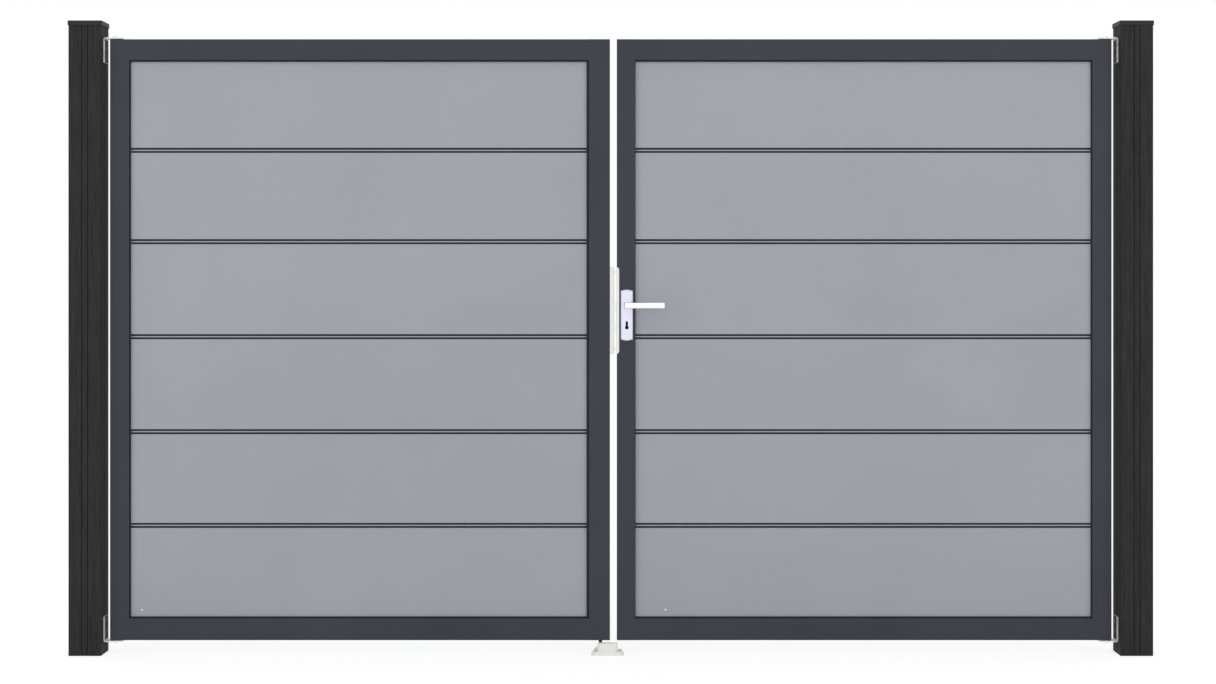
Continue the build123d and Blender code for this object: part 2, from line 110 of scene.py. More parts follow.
class GateColours(bpy.types.PropertyGroup):
    """Colours of the gate's finishes."""

    post: colour_setting("Post", "Grained composite of the posts", "#2D2D2D")
    cap: colour_setting("Post cap", "Moulded caps on the posts", "#222222")
    frame: colour_setting("Frame", "Dark powder coat of the leaf frames", "#3D4047")
    board: colour_setting("Board", "Light powder coat of the boards", "#A0A3AA")
    # Near-black rubber colour of the strips and pads that stand where there is only shade: painted
    # shade.
    painted_shade: colour_setting("Painted shade", "Rubber seals round the boards", "#1B1F2A")
    end_piece: colour_setting("End piece", "Moulded ends of the stiles", "#3A3C42")
    zinc: colour_setting("Zinc", "Galvanised brackets and guides", "#ECECEA")
    screw: colour_setting("Screw", "Plated screws", "#A8A8A6")
    pale_steel: colour_setting("Pale steel", "Satin keep and forend", "#E6E6E2")
    # Near-black partly as the lock case's own oiled steel and partly as painted shade, so the
    # keyhole looks deep.
    inner_steel: colour_setting("Inner steel", "Lock case and spindle", "#1A1A1A")
    lock_plate: colour_setting("Lock plate", "Anodised lock plates", "#E8E6F8")
    lever: colour_setting("Lever", "Anodised levers", "#FCFBFF")
    floor_stop: colour_setting("Floor stop", "Cast floor stop", "#EDEEE9")
    bolt: colour_setting("Drop bolt", "Dark coat of the drop bolt", "#2B2B2C")


class GateFittings(bpy.types.PropertyGroup):
    """Sizes of the pieces that this script adds."""

    rail_rebate: length_setting("Rail rebate", "Border along the rails", 5.0)
    hinge_rebate: length_setting("Hinge rebate", "Border along the hinge stiles", 3.5)
    left_rebate: length_setting("Left rebate", "Border along the left meeting stile", 7.0)
    right_rebate: length_setting("Right rebate", "Border along the right meeting stile", 1.5)
    rebate_depth: length_setting("Rebate depth", "From a frame's face to its border's floor", 7.0)
    # The strips in the rebates and joint grooves are painted shade of those recesses.
    shade_strip_height: length_setting("Seal height", "Seal above the border's floor", 3.0)
    joint: length_setting("Joint", "Height of the joint between two boards", 15.0)
    joint_strip: length_setting("Joint strip", "Height of the raised strip in a joint", 3.5)
    joint_floor: length_setting("Joint floor", "Floor of a groove from the mid-plane", 4.0)
    joint_shade_strip: length_setting("Joint seal", "Seal in a groove above its floor", 2.0)
    screw: length_setting("Screw", "Head of a screw", 9.0)
    small_screw: length_setting("Small screw", "Screw in a guide or in the floor stop", 7.0)
    screw_rise: length_setting("Screw rise", "How far a screw head stands proud", 0.5)
    screw_margin: length_setting("Screw margin", "From a fitting's end to its screw", 15.0)
    bracket_leg: length_setting("Bracket leg", "Hinge bracket's thickness at its post", 4.5)
    # The bracket pad is a thin near-black sheet: painted shade of the bracket's inner face.
    bracket_shade_pad: length_setting("Bracket painted shade pad", "Thickness of the pad in a bracket", 0.6)
    shade_pad_height: length_setting("Painted shade pad height", "Height of the pad in a bracket", 69.0)
    shade_pad_front: length_setting("Painted shade pad front", "From a bracket's front edge to its pad", 6.0)
    shade_pad_margin: length_setting("Painted shade pad margin", "From a bracket's other edges to its pad", 0.5)
    latch: length_setting("Latch", "Height of the latch", 32.0)
    dead_bolt: length_setting("Dead bolt", "Height of the dead bolt", 34.0)
    latch_depth: length_setting("Latch depth", "Latch and dead bolt across the forend", 12.0)
    latch_below: length_setting("Latch place", "Latch's middle below the lever's axis", 4.0)
    bolt_below: length_setting("Dead bolt place", "Its middle below the lever's axis", 66.0)
    latch_rise: length_setting("Latch rise", "Latch and dead bolt proud of the forend", 0.5)
    guide_height: length_setting("Guide height", "Height of a guide of the drop bolt", 26.0)
    guide_foot: length_setting("Guide foot", "Thickness of a guide's feet", 4.0)
    guide_margin: length_setting("Guide margin", "From a guide's side to its screw", 6.0)
    stop_margin: length_setting("Stop margin", "From the floor stop's ends to its screws", 13.5)
    stop_depth: length_setting("Stop depth", "From the floor stop's front to its screws", 18.5)
    stop_base: length_setting("Stop base", "Thickness of the floor stop's base", 12.0)
    stud: length_setting("Stud", "Bright stud low on each leaf", 6.0)
    stud_rise: length_setting("Stud height", "Stud above the boards' lower edge", 19.5)
    left_stud: length_setting("Left stud", "From the left edge of the left leaf's boards", 33.0)
    right_stud: length_setting("Right stud", "From the left edge of the right leaf's boards", 90.0)


class GateStage(bpy.types.PropertyGroup):
    """Camera and light."""

    distance: FloatProperty(
        name="Distance",
        description="From the leaves' mid-plane to the camera",
        default=6.32,
        unit="LENGTH",
    )
    eye: FloatProperty(
        name="Eye height", description="Camera above the ground", default=1.142, unit="LENGTH"
    )
    lens: FloatProperty(
        name="Lens", description="Focal length on a 36 mm sensor, in mm", default=62.28
    )
    shift_x: FloatProperty(
        name="Shift across", description="Framing of the picture", default=-0.0023, precision=4
    )
    shift_y: FloatProperty(
        name="Shift up", description="Framing of the picture", default=-0.0568, precision=4
    )
    sky: FloatProperty(name="Sky", description="Even light from all round", default=0.88)
    key: FloatProperty(
        name="Key", description="Long lamp in front, in watts", default=35.0, unit="POWER"
    )
    fill: FloatProperty(
        name="Fill", description="Lamp on each side, in watts", default=32.0, unit="POWER"
    )


# Materials

# A Mix node's two colours are its inputs 6 and 7, and its blended colour is output 2.
FACTOR, DARK, LIGHT, BLENDED = 0, 6, 7, 2
# Two noises added together lie mostly between these values.
SUM_LOW, SUM_HIGH = 0.6, 1.4
# Sizes along X, Y and Z, in mm, of the lines or spots in a metal's skin. Real brush lines are
# 0.1 mm apart, and so is the grain of plating; they are drawn coarser so that they show.
BRUSHED_UP = (0.8, 0.8, 40)
BRUSHED_ALONG = (40, 0.8, 0.8)
BRUSHED_THROUGH = (0.8, 20, 0.8)
PLATED = (0.5, 0.5, 0.5)
TUMBLED = (1, 1, 1)


def feed(tree, node, inputs):
    """Give each input its value, or link a socket to it."""
    for name, value in inputs.items():
        if isinstance(value, bpy.types.NodeSocket):
            tree.links.new(value, node.inputs[name])
        else:
            node.inputs[name].default_value = value


def add_node(tree, kind, inputs=None, **settings):
    """Add a node with its settings and links."""
    node = tree.nodes.new(kind)
    for name, value in settings.items():
        setattr(node, name, value)
    feed(tree, node, inputs or {})
    return node


def start_material(name):
    """A material, its node tree, its shader and the object's own coordinates."""
    material = bpy.data.materials.new(name)
    material.use_nodes = True
    tree = material.node_tree
    place = add_node(tree, "ShaderNodeTexCoord").outputs["Object"]
    return material, tree, tree.nodes["Principled BSDF"], place


def powder_coat(name, colour, contrast):
    """Polyester powder coat on aluminium: an even satin colour with a fine pebbled skin."""
    material, tree, shader, place = start_material(name)
    drift = 450 * MM
    # Real pebbles are 0.5 mm across; they are drawn at 2 mm so that they show.
    pebble = 2 * MM
    broad = {"Vector": place, "Scale": 1 / drift, "Detail": 3.0}
    cloud = add_node(tree, "ShaderNodeTexNoise", broad)
    fine = {"Vector": place, "Scale": 1 / pebble, "Detail": 2.0}
    skin = add_node(tree, "ShaderNodeTexNoise", fine)
    terms = {0: cloud.outputs["Fac"], 1: skin.outputs["Fac"]}
    both = add_node(tree, "ShaderNodeMath", terms, operation="ADD")
    span = {"Value": both.outputs[0], "From Min": SUM_LOW, "From Max": SUM_HIGH}
    share = add_node(tree, "ShaderNodeMapRange", span)
    blend = {
        FACTOR: share.outputs["Result"],
        DARK: shade(colour, 1 - contrast),
        LIGHT: shade(colour, 1 + contrast),
    }
    tone = add_node(tree, "ShaderNodeMix", blend, data_type="RGBA")
    surface = {"Height": skin.outputs["Fac"], "Strength": 0.25, "Distance": 0.3 * MM}
    bump = add_node(tree, "ShaderNodeBump", surface)
    feed(tree, shader, {
        "Base Color": tone.outputs[BLENDED],
        "Roughness": 0.55,
        "Specular IOR Level": 0.12,
        "Normal": bump.outputs["Normal"],
    })
    return material


def grained_composite(name, colour):
    """Extruded wood-fibre composite, brushed upright: matt, with long streaks and short fibres."""
    material, tree, shader, place = start_material(name)
    streak = Vector((5, 5, 160)) * MM
    # Real fibres are under 1 mm wide; they are drawn at 2 mm so that they show.
    fibre = Vector((2, 2, 30)) * MM
    layers = []
    for size in (streak, fibre):
        stretch = [1 / side for side in size]
        run = add_node(tree, "ShaderNodeMapping", {"Vector": place, "Scale": stretch})
        pattern = {"Vector": run.outputs["Vector"], "Scale": 1.0, "Detail": 4.0}
        layers.append(add_node(tree, "ShaderNodeTexNoise", pattern).outputs["Fac"])
    both = add_node(tree, "ShaderNodeMath", {0: layers[0], 1: layers[1]}, operation="ADD")
    span = {"Value": both.outputs[0], "From Min": SUM_LOW, "From Max": SUM_HIGH}
    grain = add_node(tree, "ShaderNodeMapRange", span)
    blend = {
        FACTOR: grain.outputs["Result"],
        DARK: shade(colour, 0.55),
        LIGHT: shade(colour, 1.45),
    }
    tone = add_node(tree, "ShaderNodeMix", blend, data_type="RGBA")
    surface = {"Height": grain.outputs["Result"], "Strength": 0.4, "Distance": 0.6 * MM}
    bump = add_node(tree, "ShaderNodeBump", surface)
    feed(tree, shader, {
        "Base Color": tone.outputs[BLENDED],
        "Roughness": 0.75,
        "Specular IOR Level": 0.12,
        "Normal": bump.outputs["Normal"],
    })
    return material


def moulded_plastic(name, colour, roughness):
    """Moulded polyamide or rubber, or a thin coat on steel: dull, with a fine grain."""
    material, tree, shader, place = start_material(name)
    # Real grain is 0.3 mm; it is drawn at 1.5 mm so that it shows.
    grain_size = 1.5 * MM
    pattern = {"Vector": place, "Scale": 1 / grain_size, "Detail": 2.0}
    grain = add_node(tree, "ShaderNodeTexNoise", pattern)
    blend = {
        FACTOR: grain.outputs["Fac"],
        DARK: shade(colour, 0.85),
        LIGHT: shade(colour, 1.15),
    }
    tone = add_node(tree, "ShaderNodeMix", blend, data_type="RGBA")
    surface = {"Height": grain.outputs["Fac"], "Strength": 0.2, "Distance": 0.2 * MM}
    bump = add_node(tree, "ShaderNodeBump", surface)
    feed(tree, shader, {
        "Base Color": tone.outputs[BLENDED],
        "Roughness": roughness,
        "Specular IOR Level": 0.3,
        "Normal": bump.outputs["Normal"],
    })
    return material


def satin_metal(name, colour, roughness, line):
    """Plated, brushed or anodised metal: bright, with fine lines that blur what it mirrors."""
    material, tree, shader, place = start_material(name)
    stretch = [1 / (side * MM) for side in line]
    spread = 0.06
    run = add_node(tree, "ShaderNodeMapping", {"Vector": place, "Scale": stretch})
    pattern = {"Vector": run.outputs["Vector"], "Scale": 1.0, "Detail": 3.0}
    lines = add_node(tree, "ShaderNodeTexNoise", pattern)
    blend = {
        FACTOR: lines.outputs["Fac"],
        DARK: shade(colour, 0.88),
        LIGHT: shade(colour, 1.06),
    }
    tone = add_node(tree, "ShaderNodeMix", blend, data_type="RGBA")
    span = {
        "Value": lines.outputs["Fac"],
        "To Min": roughness - spread,
        "To Max": roughness + spread,
    }
    rough = add_node(tree, "ShaderNodeMapRange", span)
    surface = {"Height": lines.outputs["Fac"], "Strength": 0.12, "Distance": 0.1 * MM}
    bump = add_node(tree, "ShaderNodeBump", surface)
    feed(tree, shader, {
        "Base Color": tone.outputs[BLENDED],
        "Metallic": 1.0,
        "Roughness": rough.outputs["Result"],
        "Normal": bump.outputs["Normal"],
    })
    return material


def galvanised_steel(name, colour):
    """Passivated galvanised steel: pale metal, dulled by soft patches of zinc crystals."""
    material, tree, shader, place = start_material(name)
    # Real crystals are under 1 mm on thin zinc; they are drawn at 4 mm so that they show.
    crystal = 4 * MM
    pattern = {"Vector": place, "Scale": 1 / crystal, "Randomness": 1.0}
    patches = add_node(tree, "ShaderNodeTexVoronoi", pattern)
    # A patch takes its tone from the first channel of its own colour.
    split = add_node(tree, "ShaderNodeSeparateColor", {"Color": patches.outputs["Color"]})
    blend = {
        FACTOR: split.outputs["Red"],
        DARK: shade(colour, 0.84),
        LIGHT: shade(colour, 1.04),
    }
    tone = add_node(tree, "ShaderNodeMix", blend, data_type="RGBA")
    span = {"Value": split.outputs["Red"], "To Min": 0.35, "To Max": 0.5}
    rough = add_node(tree, "ShaderNodeMapRange", span)
    surface = {"Height": patches.outputs["Distance"], "Strength": 0.1, "Distance": 0.2 * MM}
    bump = add_node(tree, "ShaderNodeBump", surface)
    feed(tree, shader, {
        "Base Color": tone.outputs[BLENDED],
        "Metallic": 0.8,
        "Roughness": rough.outputs["Result"],
        "Normal": bump.outputs["Normal"],
    })
    return material


def cast_metal(name, colour):
    """Sand-cast aluminium, blasted: pale and matt, with a pebbled skin."""
    material, tree, shader, place = start_material(name)
    # Real blasted pebbles are under 1 mm; they are drawn at 2.5 mm so that they show.
    pebble = 2.5 * MM
    pattern = {"Vector": place, "Scale": 1 / pebble, "Detail": 4.0}
    skin = add_node(tree, "ShaderNodeTexNoise", pattern)
    blend = {
        FACTOR: skin.outputs["Fac"],
        DARK: shade(colour, 0.88),
        LIGHT: shade(colour, 1.06),
    }
    tone = add_node(tree, "ShaderNodeMix", blend, data_type="RGBA")
    surface = {"Height": skin.outputs["Fac"], "Strength": 0.3, "Distance": 0.4 * MM}
    bump = add_node(tree, "ShaderNodeBump", surface)
    feed(tree, shader, {
        "Base Color": tone.outputs[BLENDED],
        "Metallic": 0.3,
        "Roughness": 0.55,
        "Normal": bump.outputs["Normal"],
    })
    return material


def screw_finish(name, colour):
    """Finish of a screw's head, and the near-black one of its drive recess, painted shade of a deep
    hole.
    """
    dark = bpy.context.scene.gate_colours.inner_steel
    recess_painted_shade = moulded_plastic(f"{name} recess", dark, roughness=0.6)
    return satin_metal(name, colour, roughness=0.35, line=PLATED), recess_painted_shade


# Pieces

# The edges of a painted shade strip or pad are rounded by the first share of its thickness, a
# latch's by the second.
SOFT_EDGE = 0.3
LATCH_EDGE = 0.8


def paint(names, material):
    """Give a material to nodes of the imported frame."""
    for name in names:
        slots = frame["nodes"][name].data.materials
        slots.clear()
        slots.append(material)


def nodes_with(*words):
    """Names of the frame's nodes that hold any of the words."""
    return [name for name in frame["nodes"] if any(word in name for word in words)]


def opening(hand):
    """Left, right, lower and upper edge of the boards that show in a leaf's frame."""
    hinge_low, hinge_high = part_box(f"{hand}_hinge_stile")
    meet_low, meet_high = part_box(f"{hand}_meeting_stile")
    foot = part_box(f"{hand}_bottom_rail")[1].z
    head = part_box(f"{hand}_top_rail")[0].z
    if hand == "left":
        return hinge_high.x, meet_low.x, foot, head
    return meet_high.x, hinge_low.x, foot, head


def finish_piece(name, bm, materials, body):
    """Make a mesh object of a bmesh and let it ride on a body."""
    mesh = bpy.data.meshes.new(name)
    bm.to_mesh(mesh)
    bm.free()
    for material in materials:
        mesh.materials.append(material)
    piece = bpy.data.objects.new(name, mesh)
    bpy.context.scene.collection.objects.link(piece)
    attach(piece, body)


def add_bar(bm, low, high, edge):
    """Straight bar between two corners, its edges rounded."""
    verts = bmesh.ops.create_cube(bm, size=1.0)["verts"]
    bmesh.ops.scale(bm, vec=high - low, verts=verts)
    bmesh.ops.translate(bm, vec=(low + high) / 2, verts=verts)
    bmesh.ops.bevel(
        bm,
        geom=list({e for v in verts for e in v.link_edges}),
        offset=edge,
        affect="EDGES",
        segments=2,
        profile=0.5,
        material=-1,
    )


def add_screw(bm, place, axis, diameter, rise):
    """Countersunk head with a bevelled rim and a six-sided recess, a little proud of its seat."""
    radius = diameter / 2
    land = diameter * 0.22
    wall = diameter * 0.02
    depth = rise * 0.8
    sixth = pi / 3
    head = bmesh.new()
    bmesh.ops.create_cone(
        head, cap_ends=True, segments=24, radius1=radius, radius2=radius - rise, depth=rise
    )
    top = max(head.faces, key=lambda face: face.calc_center_median().z)
    bmesh.ops.inset_individual(head, faces=[top], thickness=land)
    for vert in top.verts:
        # The ring's points move in from a circle to the hexagon inside it.
        turn = atan2(vert.co.y, vert.co.x) % sixth - sixth / 2
        vert.co.xy = vert.co.xy * cos(sixth / 2) / cos(turn)
    bmesh.ops.inset_individual(head, faces=[top], thickness=wall, depth=-depth)
    # The recess floor takes the near-black second finish: painted shade of a deep drive hole.
    top.material_index = 1
    seat(bm, head, place + axis * (rise / 2), axis)


def add_stud(bm, place, axis, diameter):
    """Low domed head of a blind rivet, with the hole that its pin leaves."""
    flatness = 0.5
    wall = diameter * 0.02
    depth = diameter * 0.1
    dome = bmesh.new()
    bmesh.ops.create_uvsphere(dome, u_segments=24, v_segments=12, radius=diameter / 2)
    bmesh.ops.scale(dome, vec=(1, 1, flatness), verts=dome.verts)
    dome.normal_update()
    hole = list(max(dome.verts, key=lambda vert: vert.co.z).link_faces)
    for face in set(dome.faces) - set(hole):
        face.smooth = True
    bmesh.ops.inset_region(dome, faces=hole, thickness=wall, depth=-depth)
    seat(bm, dome, place, axis)


def seat(bm, part, place, axis):
    """Turn a finished part from +Z to an axis, set it in its place and add it to a bmesh."""
    turn = Vector((0, 0, 1)).rotation_difference(axis).to_matrix().to_4x4()
    part.transform(Matrix.Translation(place) @ turn)
    mesh = bpy.data.meshes.new("part")
    part.to_mesh(mesh)
    part.free()
    bm.from_mesh(mesh)
    bpy.data.meshes.remove(mesh)


class GATE_OT_posts(bpy.types.Operator):
    """Finish the posts and their caps"""

    bl_idname = "gate.posts"
    bl_label = "Posts"

    def execute(self, context):
        colours = context.scene.gate_colours
        posts = [f"{hand}_post" for hand in HANDS]
        paint(posts, grained_composite("Grained composite", colours.post))
        paint(nodes_with("post_cap"), moulded_plastic("Cap plastic", colours.cap, roughness=0.6))
        return {"FINISHED"}


class GATE_OT_frames(bpy.types.Operator):
    """Finish the leaf frames and the ends of their stiles"""

    bl_idname = "gate.frames"
    bl_label = "Leaf frames"

    def execute(self, context):
        colours = context.scene.gate_colours
        stiles = [f"{hand}_{place}_stile" for hand in HANDS for place in ("hinge", "meeting")]
        coat = powder_coat("Dark powder coat", colours.frame, contrast=0.15)
        plastic = moulded_plastic("End piece plastic", colours.end_piece, roughness=0.6)
        paint(stiles + nodes_with("_rail"), coat)
        paint(nodes_with("stile_caps", "hinge_block"), plastic)
        return {"FINISHED"}


class GATE_OT_boards(bpy.types.Operator):
    """Finish the boards"""

    bl_idname = "gate.boards"
    bl_label = "Boards"

    def execute(self, context):
        colour = context.scene.gate_colours.board
        paint(nodes_with("_board_"), powder_coat("Light powder coat", colour, contrast=0.05))
        return {"FINISHED"}


class GATE_OT_painted_shade_strips(bpy.types.Operator):
    """Lay dark rubber strips round the boards and in their joints, front and back, as painted shade
    of the rebates and joint grooves
    """

    bl_idname = "gate.seals"
    bl_label = "Painted shade strips"

    def execute(self, context):
        sizes = context.scene.gate_fittings
        # The near-black strips are painted shade, laid where the rebates and grooves lie in shade.
        rubber = moulded_plastic("Seal rubber", context.scene.gate_colours.painted_shade, roughness=0.7)
        for hand in HANDS:
            for word, side in SIDES.items():
                bm = bmesh.new()
                self.border(bm, hand, side, sizes)
                self.joints(bm, hand, side, sizes)
                finish_piece(f"{hand}_{word}_seal", bm, [rubber], f"{hand}_leaf")
        return {"FINISHED"}

    def border(self, bm, hand, side, sizes):
        """Four strips along the rails and stiles, painted shade of the rebate round the boards."""
        left, right, foot, head = opening(hand)
        band = sizes.rail_rebate
        if hand == "left":
            left_band, right_band = sizes.hinge_rebate, sizes.left_rebate
        else:
            left_band, right_band = sizes.right_rebate, sizes.hinge_rebate
        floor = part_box(f"{hand}_hinge_stile")[1].y - sizes.rebate_depth
        near, far = sorted((side * floor, side * (floor + sizes.shade_strip_height)))
        strips = (
            (left, right, foot - band, foot),
            (left, right, head, head + band),
            (left - left_band, left, foot - band, head + band),
            (right, right + right_band, foot - band, head + band),
        )
        for x0, x1, z0, z1 in strips:
            edge = min(x1 - x0, z1 - z0, sizes.shade_strip_height) * SOFT_EDGE
            add_bar(bm, Vector((x0, near, z0)), Vector((x1, far, z1)), edge)

    def joints(self, bm, hand, side, sizes):
        """Two strips in each joint, above and below its raised one, painted shade of the joint's
        two grooves.
        """
        left, right, _, _ = opening(hand)
        groove = (sizes.joint - sizes.joint_strip) / 2
        floor = sizes.joint_floor
        near, far = sorted((side * floor, side * (floor + sizes.joint_shade_strip)))
        for name in nodes_with(f"{hand}_board_"):
            # The lowest board has no joint under it.
            if name.endswith("_1"):
                continue
            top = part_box(name)[0].z
            for z1 in (top, top - groove - sizes.joint_strip):
                low = Vector((left, near, z1 - groove))
                high = Vector((right, far, z1))
                add_bar(bm, low, high, sizes.joint_shade_strip * SOFT_EDGE)


class GATE_OT_studs(bpy.types.Operator):
    """Set the bright stud low on each leaf"""

    bl_idname = "gate.studs"
    bl_label = "Studs"

    def execute(self, context):
        sizes = context.scene.gate_fittings
        colour = context.scene.gate_colours.pale_steel
        steel = satin_metal("Stud steel", colour, roughness=0.3, line=TUMBLED)
        for hand, offset in (("left", sizes.left_stud), ("right", sizes.right_stud)):
            left, _, foot, _ = opening(hand)
            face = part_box(f"{hand}_board_1")[0].y
            place = Vector((left + offset, face, foot + sizes.stud_rise))
            bm = bmesh.new()
            add_stud(bm, place, Vector((0, -1, 0)), sizes.stud)
            finish_piece(f"{hand}_stud", bm, [steel], f"{hand}_leaf")
        return {"FINISHED"}


class GATE_OT_hinges(bpy.types.Operator):
    """Finish the hinge brackets and screw them to the posts"""

    bl_idname = "gate.hinges"
    bl_label = "Hinges"

    def execute(self, context):
        colours = context.scene.gate_colours
        sizes = context.scene.gate_fittings
        paint(nodes_with("hinge_bracket"), galvanised_steel("Galvanised steel", colours.zinc))
        # The pads and dark screws on the brackets' inner faces are painted shade: those faces only
        # lie in shade between post and leaf.
        rubber = moulded_plastic("Painted shade pad rubber", colours.painted_shade, roughness=0.7)
        painted_shade_screw_finish = screw_finish("Painted shade screw steel", colours.bolt)
        for hand in HANDS:
            screws = bmesh.new()
            painted_shade_pads = bmesh.new()
            for end in ("upper", "lower"):
                self.line_bracket(painted_shade_pads, screws, hand, end, sizes)
            finish_piece(f"{hand}_bracket_painted_shade_pads", painted_shade_pads, [rubber], "posts")
            finish_piece(f"{hand}_bracket_screws", screws, painted_shade_screw_finish, "posts")
        return {"FINISHED"}

    def line_bracket(self, painted_shade_pads, screws, hand, end, sizes):
        """A near-black pad on the inside of one bracket, painted shade of that shaded inner face,
        and two dark screws through it into the post.
        """
        low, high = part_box(f"{hand}_{end}_hinge_bracket")
        # Inward is away from the post, and step is away from the bracket's free end.
        inward = 1 if hand == "left" else -1
        step = 1 if end == "upper" else -1
        free_end = low.z if end == "upper" else high.z
        leg = (low.x if hand == "left" else high.x) + inward * sizes.bracket_leg
        face = leg + inward * sizes.bracket_shade_pad
        start = free_end + step * sizes.shade_pad_margin
        x0, x1 = sorted((leg, face))
        z0, z1 = sorted((start, start + step * sizes.shade_pad_height))
        shade_pad_low = Vector((x0, low.y + sizes.shade_pad_front, z0))
        shade_pad_high = Vector((x1, high.y - sizes.shade_pad_margin, z1))
        add_bar(painted_shade_pads, shade_pad_low, shade_pad_high, sizes.bracket_shade_pad * SOFT_EDGE)
        # The screws sit one and three margins from the free end.
        for margins in (1, 3):
            level = free_end + margins * step * sizes.screw_margin
            place = Vector((face, (low.y + high.y) / 2, level))
            add_screw(screws, place, Vector((inward, 0, 0)), sizes.screw, sizes.screw_rise)


class GATE_OT_lock(bpy.types.Operator):
    """Finish the lock set, keep and forend, with their screws"""

    bl_idname = "gate.lock"
    bl_label = "Lock set"

    def execute(self, context):
        colours = context.scene.gate_colours
        sizes = context.scene.gate_fittings
        up, along, through = BRUSHED_UP, BRUSHED_ALONG, BRUSHED_THROUGH
        satin = satin_metal("Satin steel", colours.pale_steel, roughness=0.38, line=up)
        plate = satin_metal("Anodised plate", colours.lock_plate, roughness=0.35, line=up)
        lever = satin_metal("Anodised lever", colours.lever, roughness=0.35, line=along)
        # The lock case is near-black partly as painted shade seen through the keyhole.
        oiled_and_painted_shade = moulded_plastic("Oiled steel and painted keyhole shade", colours.inner_steel, roughness=0.5)
        plated = screw_finish("Lock screw steel", colours.screw)
        paint(["lock_keep", "lock_forend"], satin)
        paint(["front_lock_plate", "back_lock_plate"], plate)
        paint(["front_lever", "back_lever"], lever)
        paint(["lock_case", "lever_spindle"], oiled_and_painted_shade)
        fittings = (
            ("keep_screws", "lock_keep", Vector((1, 0, 0)), "left_leaf", "pale_steel"),
            ("forend_screws", "lock_forend", Vector((-1, 0, 0)), "right_leaf", "pale_steel"),
            ("back_plate_screws", "back_lock_plate", Vector((0, 1, 0)), "right_leaf", "lock_set"),
        )
        for name, node, axis, body, slot in fittings:
            finish_piece(name, self.pair(node, axis, sizes), plated, body)
        latch = satin_metal("Latch steel", colours.screw, roughness=0.3, line=through)
        finish_piece("latch_ends", self.ends(sizes), [latch], "right_leaf")
        return {"FINISHED"}

    def pair(self, node, axis, sizes):
        """One screw near each end of an upright fitting, on the face that an axis points out of."""
        low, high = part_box(node)
        middle = (low + high) / 2
        outer = high if sum(axis) > 0 else low
        bm = bmesh.new()
        for level in (low.z + sizes.screw_margin, high.z - sizes.screw_margin):
            place = Vector((middle.x, outer.y, level))
            if axis.x:
                place = Vector((outer.x, middle.y, level))
            add_screw(bm, place, axis, sizes.screw, sizes.screw_rise)
        return bm

    def ends(self, sizes):
        """Bright ends of the latch and the dead bolt, drawn back into the forend."""
        low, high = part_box("front_lever")
        axis = (low.z + high.z) / 2
        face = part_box("lock_forend")[0].x
        half = sizes.latch_depth / 2
        rise = sizes.latch_rise
        bm = bmesh.new()
        for tall, below in ((sizes.latch, sizes.latch_below), (sizes.dead_bolt, sizes.bolt_below)):
            level = axis - below
            foot = Vector((face - rise, -half, level - tall / 2))
            head = Vector((face + rise, half, level + tall / 2))
            add_bar(bm, foot, head, rise * LATCH_EDGE)
        return bm


class GATE_OT_bolt(bpy.types.Operator):
    """Finish the drop bolt, its guides and the floor stop, with their screws"""

    bl_idname = "gate.bolt"
    bl_label = "Drop bolt and floor stop"

    def execute(self, context):
        colours = context.scene.gate_colours
        sizes = context.scene.gate_fittings
        paint(["drop_bolt"], moulded_plastic("Dark coated steel", colours.bolt, roughness=0.45))
        paint(["drop_bolt_guides"], galvanised_steel("Galvanised guide steel", colours.zinc))
        paint(["floor_stop"], cast_metal("Cast aluminium", colours.floor_stop))
        plated = screw_finish("Bolt screw steel", colours.screw)
        finish_piece("guide_screws", self.guides(sizes), plated, "left_leaf")
        finish_piece("floor_stop_screws", self.stop(sizes), plated, "posts")
        return {"FINISHED"}

    def guides(self, sizes):
        """A screw in each foot of both guides."""
        low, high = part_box("drop_bolt_guides")
        bm = bmesh.new()
        for level in (low.z, high.z - sizes.guide_height):
            for x in (low.x + sizes.guide_margin, high.x - sizes.guide_margin):
                place = Vector((x, low.y + sizes.guide_foot, level + sizes.guide_height / 2))
                add_screw(bm, place, Vector((0, 1, 0)), sizes.small_screw, sizes.screw_rise)
        return bm

    def stop(self, sizes):
        """A screw at each end of the floor stop's base."""
        low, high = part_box("floor_stop")
        bm = bmesh.new()
        for x in (low.x + sizes.stop_margin, high.x - sizes.stop_margin):
            place = Vector((x, low.y + sizes.stop_depth, low.z + sizes.stop_base))
            add_screw(bm, place, Vector((0, 0, 1)), sizes.small_screw, sizes.screw_rise)
        return bm


# Studio

WHITE = (1, 1, 1)
FLOOR_HALF = 20
SENSOR_WIDTH = 36.0
# A lamp stands so far across from the gate's middle, so far in front and so high.
KEY_PLACE = (0.0, -4.6, 4.2)
KEY_SIZE = (8.0, 4.0)
FILL_PLACE = (4.8, -3.6, 1.5)
FILL_SIZE = (2.5, 2.0)
# The floor's own white where it is seen, the grey that takes the shadow there, and the grey that
# lights the gate from below.
FLOOR_GLOW = 0.74
FLOOR_SHADOW = 0.35
FLOOR_BOUNCE = 0.8


